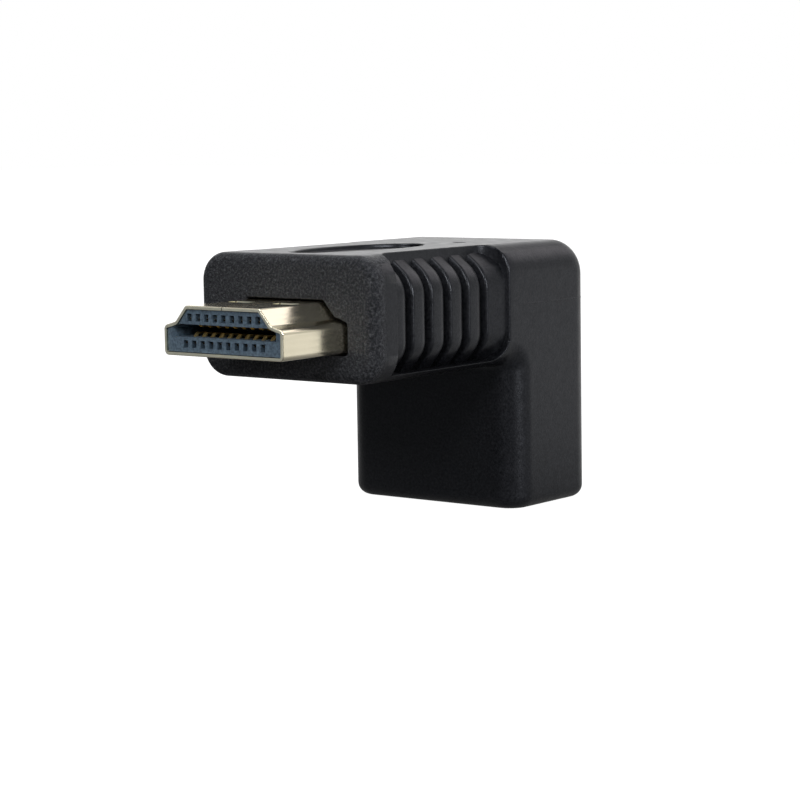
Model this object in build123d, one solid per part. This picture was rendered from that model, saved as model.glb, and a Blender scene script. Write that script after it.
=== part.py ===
from build123d import *
import os
from math import cos, hypot, radians, sin, tan

# Millimetres. The origin is on the plug's axis, level with the arm's front face.
# X is the plug's width, -Y is the way the plug points, and the leg hangs towards -Z.

# Moulded body, outside
BODY_WIDTH = 20.65
ARM_HEIGHT = 11.4
ARM_REACH = 20.9            # from the arm's front face to the leg's front face
LEG_DEPTH = 12.8
LEG_DROP = 13.8             # how far the leg hangs below the arm's underside
PLUG_AXIS_HEIGHT = 5.0      # plug's axis above the arm's underside
TOP_EDGE_RADIUS = 2.6       # arm's upper long edges, carried down the leg's back edges
LOWER_EDGE_RADIUS = 2.6     # arm's lower long edges, carried down the leg's front edges
BACK_TOP_RADIUS = 3.4       # outside of the elbow, seen from the side
ELBOW_RADIUS = 0.6          # inside of the elbow
FRONT_EDGE_RADIUS = 1.0
LEG_END_RADIUS = 1.2

# Moulded body, walls
FRONT_WALL = 1.5
LEG_END_WALL = 1.5
PLUG_HOLE_GAP = 0.2         # moulded hole around the plug's shell
SOCKET_HOLE_GAP = 0.05      # moulded hole around the socket's shell

# Finger grips, the same on both sides of the arm
COLLAR_LENGTH = 3.3         # plain collar ahead of the grips
GRIP_PITCH = 2.785
GRIP_COUNT = 6
CREST_DROP = 0.6            # rib crests lie this far inside the body's side
GROOVE_DEPTH = 1.35         # groove floors lie this far inside the body's side
CREST_LENGTH = 1.3          # flat of a crest before it rolls off to the rear
GROOVE_FLOOR = 0.25
CREST_EDGE_RADIUS = 0.3
REAR_RISE = 0.25            # the last rib's crest comes this far outwards towards its rear
RIB_TOP_CORNER = 8.93       # where a crest's upright line meets its slope at the top, above the underside
RIB_TOP_SLOPE = 52          # degrees that the top of a rib leans inwards
RIB_TOP_RADIUS = 3.0
RIB_FOOT_CORNER = 2.6       # where the upright line meets the slope at the foot, above the underside
RIB_FOOT_SLOPE = 40
RIB_FOOT_RADIUS = 2.5
RIB_RUN = 3.5               # length of the slopes before the pocket's rim and ledge cut them off
GRIP_TOP_INSET = 2.8        # upper rim of the grip pocket, in from the body's side
GRIP_LEDGE = 0.7            # lower rim of the grip pocket, above the arm's underside
GRIP_CORNER_RADIUS = 2.0

# Marks in the moulded body
RECESS_LENGTH = 16.8        # oval recess on the arm's top
RECESS_WIDTH = 7.8
RECESS_CENTRE = 10.8        # behind the arm's front face
RECESS_DEPTH = 0.4
GATE_MARK_RADIUS = 0.65
GATE_MARK_DEPTH = 0.12
GATE_MARK_X = 2.8
GATE_MARK_Y = 22.4
PARTING_HEIGHT = 5.75       # mould parting line, above the arm's underside
PARTING_WIDTH = 0.12
PARTING_DEPTH = 0.06

# Plug
PLUG_WIDTH = 13.9
PLUG_HEIGHT = 4.45
PLUG_TOP_WIDTH = 8.7
PLUG_STEP_WIDTH = 11.16
PLUG_SIDE_HEIGHT = 2.62     # upright sides, from the wide face up
PLUG_STEP_HEIGHT = 3.0      # foot of the slopes, from the wide face up
PLUG_CORNER_RADIUS = 0.45
PLUG_LENGTH = 8.3           # stands out of the arm's front face
PLUG_BURIED = 3.6           # carries on behind the arm's front face
SHEET = 0.3
MOUTH_EDGE_RADIUS = 0.12
SEAM_GAP = 0.08
SEAM_REACH = 1.3            # how far the dovetails of the seam step to the side
SEAM_STEP = 0.8
SEAM_TAIL = 1.2
SEAM_LAND = 1.1             # straight seam between the mouth and the first dovetail
SEAM_SPACING = 5.9          # from one dovetail to the next
WINDOW_WIDTH = 2.4
WINDOW_LENGTH = 1.2
WINDOW_RADIUS = 0.3
WINDOW_SPACING = 5.2
WINDOW_SETBACK = 5.5        # behind the plug's mouth
PLUG_LEG_LENGTH = 4.2
PLUG_LEG_HEIGHT = 1.2

# Plug insulator and its contacts
FACE_RECESS = 0.15
FIT = 0.05                  # clearance between pieces that fit inside each other
SLOT_WIDTH = 12.1
SLOT_HEIGHT = 1.15
SLOT_DEPTH = 7.25
SLOT_CORNER = 0.375
CHANNEL_WIDTH = 0.56
CHANNEL_INNER = 0.84        # channel's side nearer the axis
CHANNEL_OUTER = 1.51
CHANNEL_BAR = 0.85          # bar that closes each channel off from the slot at the face
CONTACT_PITCH = 1.0
WIDE_ROW_COUNT = 10
NARROW_ROW_COUNT = 9
CONTACT_WIDTH = 0.4
CONTACT_THICKNESS = 0.15
CONTACT_TIP = 1.05          # height of a plug contact's tip above the axis
CONTACT_NIP = 0.3           # height of the spring bow, which a tongue pushes back
CONTACT_BASE = 1.2          # height of the contact where the insulator holds it
BORE_FIT = 0.03
TAIL_LENGTH = 2.6

# Circuit board
BOARD_THICKNESS = 1.0
BOARD_WIDTH = 13.0
BOARD_WIDE = 15.8           # width at the socket
BOARD_GAP = 0.3             # between the plug insulator's back and the board
BOARD_MARGIN = 1.0
SOLDER_GAP = 0.02
PIN_HOLE_RADIUS = 0.3
PIN_REACH = 0.6             # pins stand this far out of the board's top
LEG_SLOT_GAP = 0.1

# Socket
SOCKET_FIT = 0.08           # clearance around a plug that is pushed in
SOCKET_RECESS = 0.2         # socket's mouth inside the leg's end face
SOCKET_SHELL_LENGTH = 12.0
SOCKET_DEPTH = 9.6
TONGUE_WIDTH = 10.9
TONGUE_THICKNESS = 0.85
TONGUE_SETBACK = 1.4        # tongue's tip behind the socket's mouth
TONGUE_TIP_RADIUS = 0.2
CONTACT_SETBACK = 0.3
CONTACT_SINK = 0.1          # contacts lie this deep in the tongue's grooves
PIN_ROW_OFFSET = 1.0        # pin rows stand this far each side of the tongue's middle
PIN_JOG_HEIGHT = 4.0        # jog of the pins, below the board
FINGER_WIDTH = 1.5
FINGER_LENGTH = 5.2
FINGER_THICKNESS = 0.25
FINGER_SPACING = 5.6
FINGER_ROOT = 8.1           # root of the spring fingers, behind the mouth
FINGER_BOW = 0.4            # how far a finger leans into the socket
FINGER_GAP = 0.25
SHELL_LEG_WIDTH = 1.2
SHELL_LEG_SPACING = 9.0
SHELL_LEG_OFFSET = 0.8      # side legs, from the tongue's middle towards the wide face

# Inner mould
MOULD_SIDE_WALL = 0.95
MOULD_ROOF = 0.9
MOULD_EDGE_RADIUS = 1.0

# Levels that follow from the sizes above
HALF_WIDTH = BODY_WIDTH / 2
ARM_BOTTOM = -PLUG_AXIS_HEIGHT
ARM_TOP = ARM_BOTTOM + ARM_HEIGHT
LEG_END = ARM_BOTTOM - LEG_DROP
BACK = ARM_REACH + LEG_DEPTH
SOCKET_Y = ARM_REACH + LEG_DEPTH / 2
SOCKET_MOUTH = LEG_END + SOCKET_RECESS
SOCKET_FLOOR = SOCKET_MOUTH + SOCKET_DEPTH
SOCKET_SHELL_TOP = SOCKET_MOUTH + SOCKET_SHELL_LENGTH
BOARD_TOP = BOARD_THICKNESS / 2
BOARD_BOTTOM = -BOARD_TOP
PLUG_MOUTH = -PLUG_LENGTH
PLUG_FACE = PLUG_MOUTH + FACE_RECESS
PLUG_SLOT_END = PLUG_FACE + SLOT_DEPTH
BOARD_FRONT = PLUG_BURIED + BOARD_GAP
SOCKET_GROWTH = SOCKET_FIT + SHEET
SOCKET_HALF_DEPTH = PLUG_HEIGHT / 2 + SOCKET_GROWTH
SOCKET_HALF_WIDTH = PLUG_WIDTH / 2 + SOCKET_GROWTH
RISER_HALF_WIDTH = PLUG_WIDTH / 2 - FIT
RISER_HALF_DEPTH = PLUG_HEIGHT / 2
MOULD_HALF_HEIGHT = PLUG_HEIGHT / 2 + MOULD_ROOF
MOULD_ARM_HALF = PLUG_WIDTH / 2 + MOULD_SIDE_WALL
MOULD_LEG_HALF = SOCKET_HALF_WIDTH + MOULD_SIDE_WALL
MOULD_LEG_DEPTH = SOCKET_HALF_DEPTH + MOULD_ROOF
MOULD_END = LEG_END + LEG_END_WALL
TOOL = 1.0                  # how far cutting shapes run past the surfaces that they cut
SAME = 1e-6                 # places that are closer than this are one place


def prism_y(sketch, y_from, y_to):
    """Extrude a sketch drawn in X and Z from one place along Y to another."""
    return extrude(Plane((0, y_to, 0), x_dir=(1, 0, 0), z_dir=(0, -1, 0)) * sketch, y_to - y_from)


def prism_z(sketch, z_from, z_to):
    """Extrude a sketch drawn in X and Y from one height to another."""
    return extrude(Plane((0, 0, z_from)) * sketch, z_to - z_from)


def block(x, y, z):
    """A box between the pairs of limits x, y and z."""
    size = (x[1] - x[0], y[1] - y[0], z[1] - z[0])
    middle = ((x[0] + x[1]) / 2, (y[0] + y[1]) / 2, (z[0] + z[1]) / 2)
    return Pos(*middle) * Box(*size)


def both_sides(half, y, z):
    """A box centred on X = 0, given its half width and its limits in y and z."""
    return block((-half, half), y, z)


def ribbon(points, thickness):
    """The face of a strip with mitred bends that follows a line of points in its own plane."""
    def normal(start, end):
        run = (end[0] - start[0], end[1] - start[1])
        length = hypot(*run)
        return (-run[1] / length, run[0] / length)

    normals = [normal(a, b) for a, b in zip(points, points[1:])]
    left, right = [], []
    for place, (x, y) in enumerate(points):
        before = normals[max(place - 1, 0)]
        after = normals[min(place, len(normals) - 1)]
        total = (before[0] + after[0], before[1] + after[1])
        scale = thickness / (1 + before[0] * after[0] + before[1] * after[1]) / 2
        left.append((x + total[0] * scale, y + total[1] * scale))
        right.append((x - total[0] * scale, y - total[1] * scale))
    return make_face(Polyline(*left, *reversed(right), close=True))


def strip(points, thickness, width, x):
    """A flat metal strip bent in the YZ plane, centred on the given x."""
    side = Plane((x - width / 2, 0, 0), x_dir=(0, 1, 0), z_dir=(1, 0, 0))
    return extrude(side * ribbon(points, thickness), width)


def plug_outline(grow=0.0):
    """The plug's outline, wide face down, moved outwards by grow."""
    bottom = -PLUG_HEIGHT / 2
    half = [
        (PLUG_WIDTH / 2, bottom),
        (PLUG_WIDTH / 2, bottom + PLUG_SIDE_HEIGHT),
        (PLUG_STEP_WIDTH / 2, bottom + PLUG_STEP_HEIGHT),
        (PLUG_TOP_WIDTH / 2, PLUG_HEIGHT / 2),
    ]
    mirrored = [(-x, z) for x, z in reversed(half)]
    face = make_face(Polyline(*half, *mirrored, close=True))
    face = fillet(face.vertices(), PLUG_CORNER_RADIUS)
    return offset(face, grow) if grow else face


def contact_places():
    """Number, x and side of each contact: odd ones in the wide row (-1), even ones in the narrow row (1)."""
    rows = ((WIDE_ROW_COUNT, 1, -1), (NARROW_ROW_COUNT, 2, 1))
    return sorted(
        (first + 2 * place, (place - (count - 1) / 2) * CONTACT_PITCH, side)
        for count, first, side in rows
        for place in range(count)
    )


def body_blank():
    """The L-shaped body with its rounded edges, before anything is cut from it."""
    corners = [
        (0, ARM_BOTTOM), (ARM_REACH, ARM_BOTTOM), (ARM_REACH, LEG_END),
        (BACK, LEG_END), (BACK, ARM_TOP), (0, ARM_TOP),
    ]
    side = make_face(Polyline(*corners, close=True))
    elbow = side.vertices().sort_by_distance((ARM_REACH, ARM_BOTTOM))[0]
    side = fillet(elbow, ELBOW_RADIUS)
    back_top = side.vertices().sort_by_distance((BACK, ARM_TOP))[0]
    side = fillet(back_top, BACK_TOP_RADIUS)
    blank = extrude(Plane.YZ * side, HALF_WIDTH, both=True)

    def on_sides(edge):
        return abs(abs(edge.center().X) - HALF_WIDTH) < SAME

    def outer_run(edge):
        middle = edge @ 0.5
        on_top = middle.Z > ARM_TOP - BACK_TOP_RADIUS
        return on_sides(edge) and (on_top or middle.Y > BACK - SAME) and middle.Y > SAME

    def inner_run(edge):
        middle = edge @ 0.5
        under_arm = abs(middle.Z - ARM_BOTTOM) < ELBOW_RADIUS and middle.Y < ARM_REACH - SAME
        down_leg = abs(middle.Y - ARM_REACH) < SAME
        return on_sides(edge) and (under_arm or down_leg) and middle.Y > SAME

    blank = fillet(blank.edges().filter_by(outer_run), TOP_EDGE_RADIUS)
    blank = fillet(blank.edges().filter_by(inner_run), LOWER_EDGE_RADIUS)
    front = blank.faces().sort_by(Axis.Y)[0]
    blank = fillet(front.edges(), FRONT_EDGE_RADIUS)
    end = blank.faces().sort_by(Axis.Z)[0]
    return fillet(end.edges(), LEG_END_RADIUS)


def grip_profile():
    """Section of the grips in X and Y: ribs that rise steeply and roll off, but for the last, which widens."""
    crest = HALF_WIDTH - CREST_DROP
    groove = HALF_WIDTH - GROOVE_DEPTH
    outside = HALF_WIDTH + TOOL
    place = COLLAR_LENGTH
    lines = [Line((outside, place), (crest, place))]
    for tooth in range(GRIP_COUNT - 1):
        roll = (crest, place + CREST_LENGTH)
        foot = (groove, place + GRIP_PITCH - GROOVE_FLOOR)
        place += GRIP_PITCH
        shoulder = (crest - CREST_EDGE_RADIUS, place)
        lines.append(Line(lines[-1] @ 1, roll))
        lines.append(TangentArc(roll, foot, tangent=(0, 1)))
        lines.append(Line(foot, (groove, place)))
        lines.append(Line((groove, place), shoulder))
        lines.append(TangentArc(shoulder, (crest, place + CREST_EDGE_RADIUS), tangent=(1, 0)))
    place += GRIP_PITCH
    rear = (crest + REAR_RISE, place)
    lines.append(Line(lines[-1] @ 1, rear))
    lines.append(Line(rear, (outside, place)))
    lines.append(Line((outside, place), (outside, COLLAR_LENGTH)))
    return make_face(Curve() + lines)


def grip_window():
    """The room that the grips take up, with round corners seen from above and at its rear foot."""
    near = COLLAR_LENGTH
    far = COLLAR_LENGTH + GRIP_COUNT * GRIP_PITCH
    inner = HALF_WIDTH - GRIP_TOP_INSET
    outer = HALF_WIDTH + 2 * TOOL
    floor = ARM_BOTTOM + GRIP_LEDGE
    roof = ARM_TOP + 2 * TOOL
    from_above = make_face(Polyline((inner, near), (outer, near), (outer, far), (inner, far), close=True))
    from_above = fillet(from_above.vertices().sort_by(Axis.X)[:2], GRIP_CORNER_RADIUS)
    from_side = make_face(Polyline((near, floor), (far, floor), (far, roof), (near, roof), close=True))
    rear_foot = from_side.vertices().sort_by_distance((far, floor))[0]
    from_side = fillet(rear_foot, GRIP_CORNER_RADIUS)
    return prism_z(from_above, floor, roof) & extrude(Plane.YZ * from_side, outer)


def bent_end(profile, height, radius, slope, up):
    """The grips' section turned inwards from a height, then run on straight, up (1) or down (-1)."""
    axis = Axis((HALF_WIDTH - CREST_DROP - radius, 0, height), (0, 1, 0))
    section = Plane((0, 0, height)) * profile
    turned = section.rotate(axis, -up * slope)
    lean = radians(slope)
    onwards = Vector(-sin(lean), 0, up * cos(lean))
    return revolve(section, axis, -up * slope) + extrude(turned, RIB_RUN, dir=onwards)


def grip_pocket():
    """The right-hand grips, cut along the arm's side and leaning in at their top and their foot."""
    upper = ARM_BOTTOM + RIB_TOP_CORNER - RIB_TOP_RADIUS * tan(radians(RIB_TOP_SLOPE / 2))
    lower = ARM_BOTTOM + RIB_FOOT_CORNER + RIB_FOOT_RADIUS * tan(radians(RIB_FOOT_SLOPE / 2))
    profile = grip_profile()
    side = prism_z(profile, lower, upper)
    over = bent_end(profile, upper, RIB_TOP_RADIUS, RIB_TOP_SLOPE, 1)
    under = bent_end(profile, lower, RIB_FOOT_RADIUS, RIB_FOOT_SLOPE, -1)
    return (side + over + under) & grip_window()


def parting_groove():
    """The fine line where the mould's two halves met, around the sides and the back behind the grips."""
    grips_end = COLLAR_LENGTH + GRIP_COUNT * GRIP_PITCH
    height = ARM_BOTTOM + PARTING_HEIGHT
    outline = Pos(0, BACK / 2) * RectangleRounded(BODY_WIDTH, BACK, TOP_EDGE_RADIUS)
    ring = offset(outline, TOOL) - offset(outline, -PARTING_DEPTH)
    band = prism_z(ring, height - PARTING_WIDTH / 2, height + PARTING_WIDTH / 2)
    behind_grips = (grips_end + PARTING_WIDTH, BACK + 2 * TOOL)
    behind = both_sides(BODY_WIDTH, behind_grips, (height - TOOL, height + TOOL))
    return band & behind


def mould_block(grow=0.0):
    """The inner mould's outside, as large as it is or moved outwards by grow."""
    arm = both_sides(
        MOULD_ARM_HALF + grow,
        (FRONT_WALL - grow, SOCKET_Y),
        (-MOULD_HALF_HEIGHT - grow, MOULD_HALF_HEIGHT + grow),
    )
    leg = both_sides(
        MOULD_LEG_HALF + grow,
        (SOCKET_Y - MOULD_LEG_DEPTH - grow, SOCKET_Y + MOULD_LEG_DEPTH + grow),
        (MOULD_END - grow, MOULD_HALF_HEIGHT + grow),
    )
    leg = fillet(leg.edges().filter_by(Axis.Z), MOULD_EDGE_RADIUS)
    arm = fillet(arm.edges().filter_by(Axis.Y), MOULD_EDGE_RADIUS)
    return arm + leg


def outer_body():
    """Everything that the hand touches: arm and leg moulded as one piece over the inner mould."""
    body = body_blank()
    pocket = grip_pocket()
    body -= pocket
    body -= mirror(pocket, Plane.YZ)
    oval = Pos(0, RECESS_CENTRE) * Ellipse(RECESS_WIDTH / 2, RECESS_LENGTH / 2)
    body -= prism_z(oval, ARM_TOP - RECESS_DEPTH, ARM_TOP + TOOL)
    mark = Pos(GATE_MARK_X, GATE_MARK_Y) * Circle(GATE_MARK_RADIUS)
    body -= prism_z(mark, ARM_TOP - GATE_MARK_DEPTH, ARM_TOP + TOOL)
    body -= parting_groove()
    body -= mould_block(FIT)
    body -= prism_y(plug_outline(PLUG_HOLE_GAP), -TOOL, FRONT_WALL)
    socket_hole = Pos(0, SOCKET_Y) * plug_outline(SOCKET_GROWTH + SOCKET_HOLE_GAP)
    body -= prism_z(socket_hole, LEG_END - TOOL, MOULD_END)
    return body


def plug_leg_heights(gap=0.0):
    """Lower and upper edge of the solder legs that carry on from the plug's upright sides."""
    middle = (PLUG_SIDE_HEIGHT - PLUG_HEIGHT) / 2
    return (middle - PLUG_LEG_HEIGHT / 2 - gap, middle + PLUG_LEG_HEIGHT / 2 + gap)


def seam_path():
    """The seam of the plug's sheet: straight, with dovetails that lock its two edges together."""
    points = [(0, PLUG_MOUTH - TOOL)]
    place = PLUG_MOUTH + SEAM_LAND
    while place + 2 * SEAM_STEP + SEAM_TAIL < PLUG_BURIED:
        points.append((0, place))
        points.append((SEAM_REACH, place + SEAM_STEP))
        points.append((SEAM_REACH, place + SEAM_STEP + SEAM_TAIL))
        points.append((0, place + 2 * SEAM_STEP + SEAM_TAIL))
        place += SEAM_SPACING
    points.append((0, PLUG_BURIED + TOOL))
    return points


def plug_shell():
    """The plug's gold-plated sheet, folded round and closed by a dovetailed seam on its narrow face."""
    outside = prism_y(plug_outline(), PLUG_MOUTH, PLUG_BURIED)
    mouth = outside.faces().sort_by(Axis.Y)[0]
    outside = fillet(mouth.edges(), MOUTH_EDGE_RADIUS)
    shell = outside - prism_y(plug_outline(-SHEET), PLUG_MOUTH - TOOL, PLUG_BURIED + TOOL)
    shell -= prism_z(ribbon(seam_path(), SEAM_GAP), 0, PLUG_HEIGHT)
    window = RectangleRounded(WINDOW_WIDTH, WINDOW_LENGTH, WINDOW_RADIUS)
    for side in (-1, 1):
        hole = Pos(side * WINDOW_SPACING / 2, PLUG_MOUTH + WINDOW_SETBACK) * window
        shell -= prism_z(hole, -PLUG_HEIGHT, PLUG_HEIGHT)
        leg_x = sorted((side * PLUG_WIDTH / 2, side * (PLUG_WIDTH / 2 - SHEET)))
        shell += block(leg_x, (PLUG_BURIED - TOOL, PLUG_BURIED + PLUG_LEG_LENGTH), plug_leg_heights())
    return shell


def plug_insulator():
    """The moulded block inside the plug, with the slot for a socket's tongue and a channel for each contact."""
    block_outline = plug_outline(-SHEET - FIT)
    insulator = prism_y(block_outline, PLUG_FACE, PLUG_BURIED)
    half, top = SLOT_WIDTH / 2, SLOT_HEIGHT / 2
    slot = [(-half, -top), (half, -top), (half, top - SLOT_CORNER), (half - 2 * SLOT_CORNER, top)]
    slot += [(2 * SLOT_CORNER - half, top), (-half, top - SLOT_CORNER)]
    insulator -= prism_y(make_face(Polyline(*slot, close=True)), PLUG_FACE - TOOL, PLUG_SLOT_END)
    for number, x, side in contact_places():
        across = (x - CHANNEL_WIDTH / 2, x + CHANNEL_WIDTH / 2)
        mouth = sorted((side * CHANNEL_INNER, side * CHANNEL_OUTER))
        trough = sorted((0, side * CHANNEL_OUTER))
        insulator -= block(across, (PLUG_FACE - TOOL, PLUG_SLOT_END), mouth)
        insulator -= block(across, (PLUG_FACE + CHANNEL_BAR, PLUG_SLOT_END), trough)
        bore_half = CONTACT_WIDTH / 2 + BORE_FIT
        bore_z = (side * CONTACT_BASE - CONTACT_THICKNESS / 2 - BORE_FIT,
                  side * CONTACT_BASE + CONTACT_THICKNESS / 2 + BORE_FIT)
        insulator -= block((x - bore_half, x + bore_half), (PLUG_SLOT_END - TOOL, PLUG_BURIED + TOOL), bore_z)
    return insulator


def plug_contact(x, side):
    """A plug contact: tip in its channel, spring bow in the slot, and a tail soldered to the board."""
    tip_end = PLUG_FACE + CHANNEL_BAR
    solder = BOARD_TOP + CONTACT_THICKNESS / 2 + SOLDER_GAP
    bend = CONTACT_BASE - solder
    heights = [
        (PLUG_FACE + CHANNEL_BAR / 3, CONTACT_TIP),
        (tip_end + FIT, CONTACT_TIP),
        (tip_end + FIT + CONTACT_TIP - CONTACT_NIP, CONTACT_NIP),
        (tip_end + FIT + 2 * (CONTACT_TIP - CONTACT_NIP), CONTACT_NIP),
        (PLUG_SLOT_END - CHANNEL_BAR, CONTACT_BASE),
        (PLUG_BURIED + BOARD_GAP / 2, CONTACT_BASE),
        (PLUG_BURIED + BOARD_GAP / 2 + bend, solder),
        (PLUG_BURIED + BOARD_GAP / 2 + bend + TAIL_LENGTH, solder),
    ]
    return strip([(y, side * z) for y, z in heights], CONTACT_THICKNESS, CONTACT_WIDTH, x)


def socket_side_legs(gap=0.0):
    """Solder legs at the socket's sides and wide face, from its shell's top to above the board."""
    top = BOARD_TOP + PIN_REACH
    legs = []
    for side in (-1, 1):
        inner = side * (SOCKET_HALF_WIDTH - SHEET - gap)
        outer = side * (SOCKET_HALF_WIDTH + gap)
        middle = SOCKET_Y - SHELL_LEG_OFFSET
        along = (middle - SHELL_LEG_WIDTH / 2 - gap, middle + SHELL_LEG_WIDTH / 2 + gap)
        legs.append(block(sorted((inner, outer)), along, (SOCKET_SHELL_TOP - TOOL, top)))
        centre = side * SHELL_LEG_SPACING / 2
        across = (centre - SHELL_LEG_WIDTH / 2 - gap, centre + SHELL_LEG_WIDTH / 2 + gap)
        face = SOCKET_Y - SOCKET_HALF_DEPTH
        legs.append(block(across, (face - gap, face + SHEET + gap), (SOCKET_SHELL_TOP - TOOL, top)))
    return legs


def socket_shell():
    """The socket's folded sheet, open downwards, with spring fingers that grip a plug and four solder legs."""
    place = Pos(0, SOCKET_Y)
    shell = prism_z(place * plug_outline(SOCKET_GROWTH), SOCKET_MOUTH, SOCKET_SHELL_TOP)
    shell -= prism_z(place * plug_outline(SOCKET_FIT), SOCKET_MOUTH - TOOL, SOCKET_SHELL_TOP + TOOL)
    root = SOCKET_MOUTH + FINGER_ROOT
    tip = root - FINGER_LENGTH
    for face in (-1, 1):
        sheet_y = SOCKET_Y + face * (SOCKET_HALF_DEPTH - SHEET / 2)
        bow = sheet_y - face * FINGER_BOW
        path = [(sheet_y, root + FIT), (bow, tip + FINGER_BOW + SHEET), (sheet_y - face * SHEET / 2, tip)]
        for side in (-1, 1):
            x = side * FINGER_SPACING / 2
            half = FINGER_WIDTH / 2 + FINGER_GAP
            window_y = sorted((sheet_y - SHEET, sheet_y + SHEET))
            shell -= block((x - half, x + half), window_y, (tip - FINGER_GAP, root))
            shell += strip(path, FINGER_THICKNESS, FINGER_WIDTH, x)
    for leg in socket_side_legs():
        shell += leg
    return shell


def socket_contact_path(side):
    """Middle line of a socket contact: along the tongue, up through the base, out to its pin row."""
    along = SOCKET_Y + side * (TONGUE_THICKNESS / 2 - CONTACT_SINK + CONTACT_THICKNESS / 2)
    pin = SOCKET_Y + side * PIN_ROW_OFFSET
    jog = BOARD_BOTTOM - PIN_JOG_HEIGHT
    rise = abs(pin - along)
    return [
        (along, SOCKET_MOUTH + TONGUE_SETBACK + CONTACT_SETBACK),
        (along, jog),
        (pin, jog + rise),
        (pin, BOARD_TOP + PIN_REACH),
    ]


def socket_insulator():
    """The socket's moulded base and tongue, standing on the board's underside."""
    place = Pos(0, SOCKET_Y)
    base = prism_z(place * plug_outline(SOCKET_FIT - FIT), SOCKET_FLOOR, SOCKET_SHELL_TOP)
    riser = both_sides(
        RISER_HALF_WIDTH,
        (SOCKET_Y - RISER_HALF_DEPTH, SOCKET_Y + RISER_HALF_DEPTH),
        (SOCKET_SHELL_TOP, BOARD_BOTTOM),
    )
    tongue_tip = SOCKET_MOUTH + TONGUE_SETBACK
    tongue = both_sides(
        TONGUE_WIDTH / 2,
        (SOCKET_Y - TONGUE_THICKNESS / 2, SOCKET_Y + TONGUE_THICKNESS / 2),
        (tongue_tip, SOCKET_FLOOR),
    )
    tip_edges = tongue.faces().sort_by(Axis.Z)[0].edges()
    insulator = base + riser + fillet(tip_edges, TONGUE_TIP_RADIUS)
    for number, x, side in contact_places():
        bore = strip(
            socket_contact_path(side),
            CONTACT_THICKNESS + 2 * BORE_FIT,
            CONTACT_WIDTH + 2 * BORE_FIT,
            x,
        )
        insulator -= bore
    return insulator


def socket_contact(x, side):
    """A socket contact: a flat blade on the tongue that ends in a pin through the board."""
    return strip(socket_contact_path(side), CONTACT_THICKNESS, CONTACT_WIDTH, x)


def board_outline(grow=0.0):
    """The circuit board seen from above: narrow behind the plug, wide over the socket."""
    wide_from = SOCKET_Y - SOCKET_HALF_DEPTH - BOARD_MARGIN - grow
    back = SOCKET_Y + RISER_HALF_DEPTH + BOARD_MARGIN + grow
    front = BOARD_FRONT - grow
    narrow = Pos(0, (front + back) / 2) * Rectangle(BOARD_WIDTH + 2 * grow, back - front)
    wide = Pos(0, (wide_from + back) / 2) * Rectangle(BOARD_WIDE + 2 * grow, back - wide_from)
    return narrow + wide


def circuit_board():
    """The board that carries both connectors, with a hole for each socket pin and a slot for each leg."""
    board = prism_z(board_outline(), BOARD_BOTTOM, BOARD_TOP)
    for number, x, side in contact_places():
        hole = Pos(x, SOCKET_Y + side * PIN_ROW_OFFSET) * Circle(PIN_HOLE_RADIUS)
        board -= prism_z(hole, BOARD_BOTTOM - TOOL, BOARD_TOP + TOOL)
    for leg in socket_side_legs(LEG_SLOT_GAP):
        board -= leg
    return board


def inner_mould():
    """The first moulding, which locks both connectors and the board together."""
    mould = mould_block()
    pins_top = BOARD_TOP + PIN_REACH + FIT
    mould -= prism_y(plug_outline(FIT), FRONT_WALL - TOOL, PLUG_BURIED + FIT)
    tails_end = BOARD_FRONT + CONTACT_BASE + TAIL_LENGTH
    tails_half = WIDE_ROW_COUNT * CONTACT_PITCH / 2 + FIT
    tails_height = CONTACT_BASE + CONTACT_THICKNESS
    mould -= both_sides(tails_half, (PLUG_BURIED, tails_end), (-tails_height, tails_height))
    legs_y = (PLUG_BURIED, PLUG_BURIED + PLUG_LEG_LENGTH + FIT)
    mould -= both_sides(PLUG_WIDTH / 2 + FIT, legs_y, plug_leg_heights(FIT))
    mould -= prism_z(board_outline(FIT), BOARD_BOTTOM - FIT, BOARD_TOP + FIT)
    base_y = (SOCKET_Y - SOCKET_HALF_DEPTH - FIT, SOCKET_Y + RISER_HALF_DEPTH + FIT)
    mould -= both_sides(SOCKET_HALF_WIDTH + FIT, base_y, (SOCKET_SHELL_TOP, pins_top))
    socket = Pos(0, SOCKET_Y) * plug_outline(SOCKET_GROWTH + FIT)
    mould -= prism_z(socket, MOULD_END - TOOL, SOCKET_SHELL_TOP + FIT)
    return mould


def build_parts():
    """Every piece of the adapter by its node's name."""
    parts = {
        "outer_body": outer_body(),
        "inner_mould": inner_mould(),
        "circuit_board": circuit_board(),
        "plug_shell": plug_shell(),
        "plug_insulator": plug_insulator(),
        "socket_shell": socket_shell(),
        "socket_insulator": socket_insulator(),
    }
    for number, x, side in contact_places():
        parts[f"plug_contact_{number:02d}"] = plug_contact(x, side)
        parts[f"socket_contact_{number:02d}"] = socket_contact(x, side)
    return parts


os.makedirs("parts", exist_ok=True)
for name, solid in build_parts().items():
    export_step(solid, f"parts/{name}.step")
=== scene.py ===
from collections import namedtuple
from math import asin, atan2, cos, pi, radians, sin, sqrt, tan

import bmesh
import bpy
from mathutils import Matrix, Vector


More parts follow.
